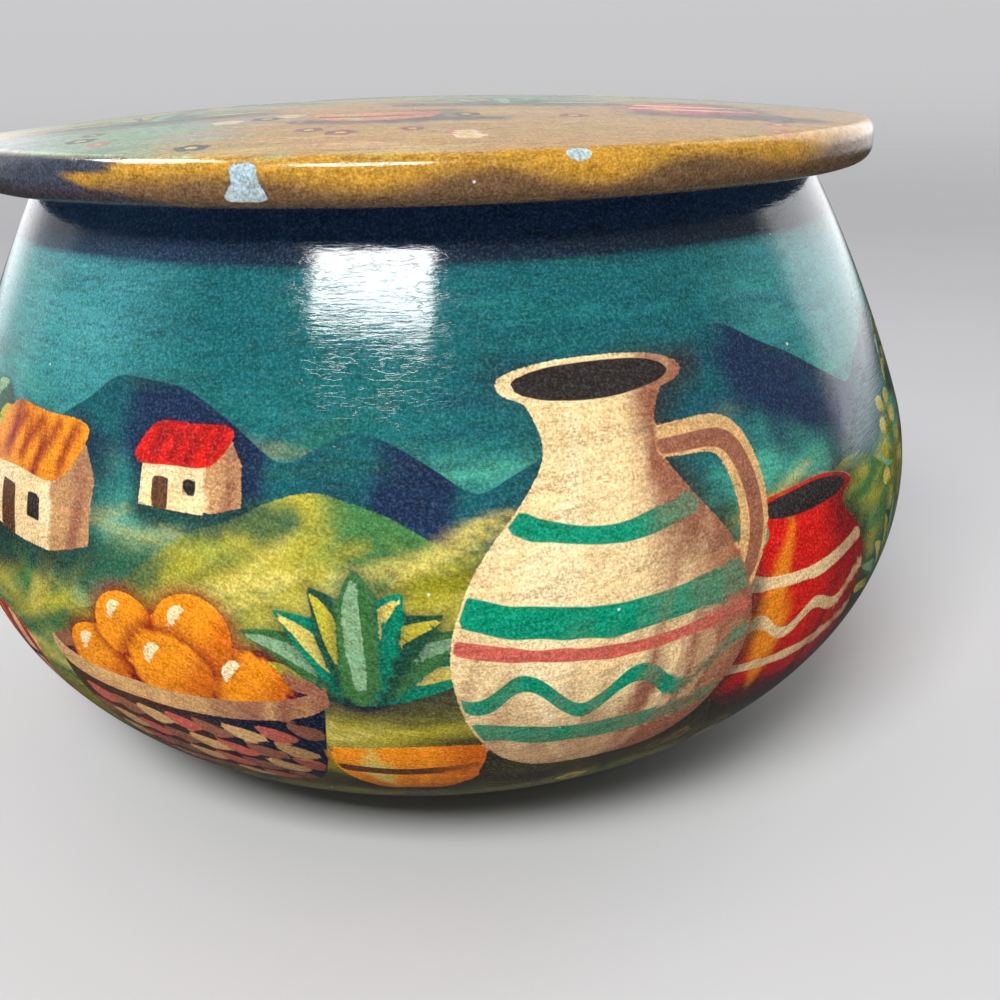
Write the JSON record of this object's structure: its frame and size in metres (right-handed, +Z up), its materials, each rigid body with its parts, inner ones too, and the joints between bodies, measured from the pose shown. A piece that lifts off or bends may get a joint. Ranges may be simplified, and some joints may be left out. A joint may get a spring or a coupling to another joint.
{
  "type": "trinket box",
  "caption": "Round turned wooden trinket box with a painted, varnished outside and a lift-off lid whose plug drops into the mouth.",
  "frame": {"origin": "centre of the foot, on the surface that the box stands on", "axes": "+Z up along the turning axis; -Y is the side that the picture shows"},
  "size_m": [0.1, 0.1, 0.0655],
  "materials": {
    "bowl_paint": "hand-painted landscape under gloss varnish outside, bare turned wood inside",
    "lid_paint": "hand-painted landscape under gloss varnish on top, bare turned wood below"
  },
  "bodies": {
    "bowl": {"bowl": "bowl_paint"},
    "lid": {"lid": "lid_paint"}
  },
  "joints": [
    {"name": "lid_lift", "type": "slide", "parent": "bowl", "child": "lid", "axis": [0, 0, 1], "range_m": [0, 0.06]}
  ]
}
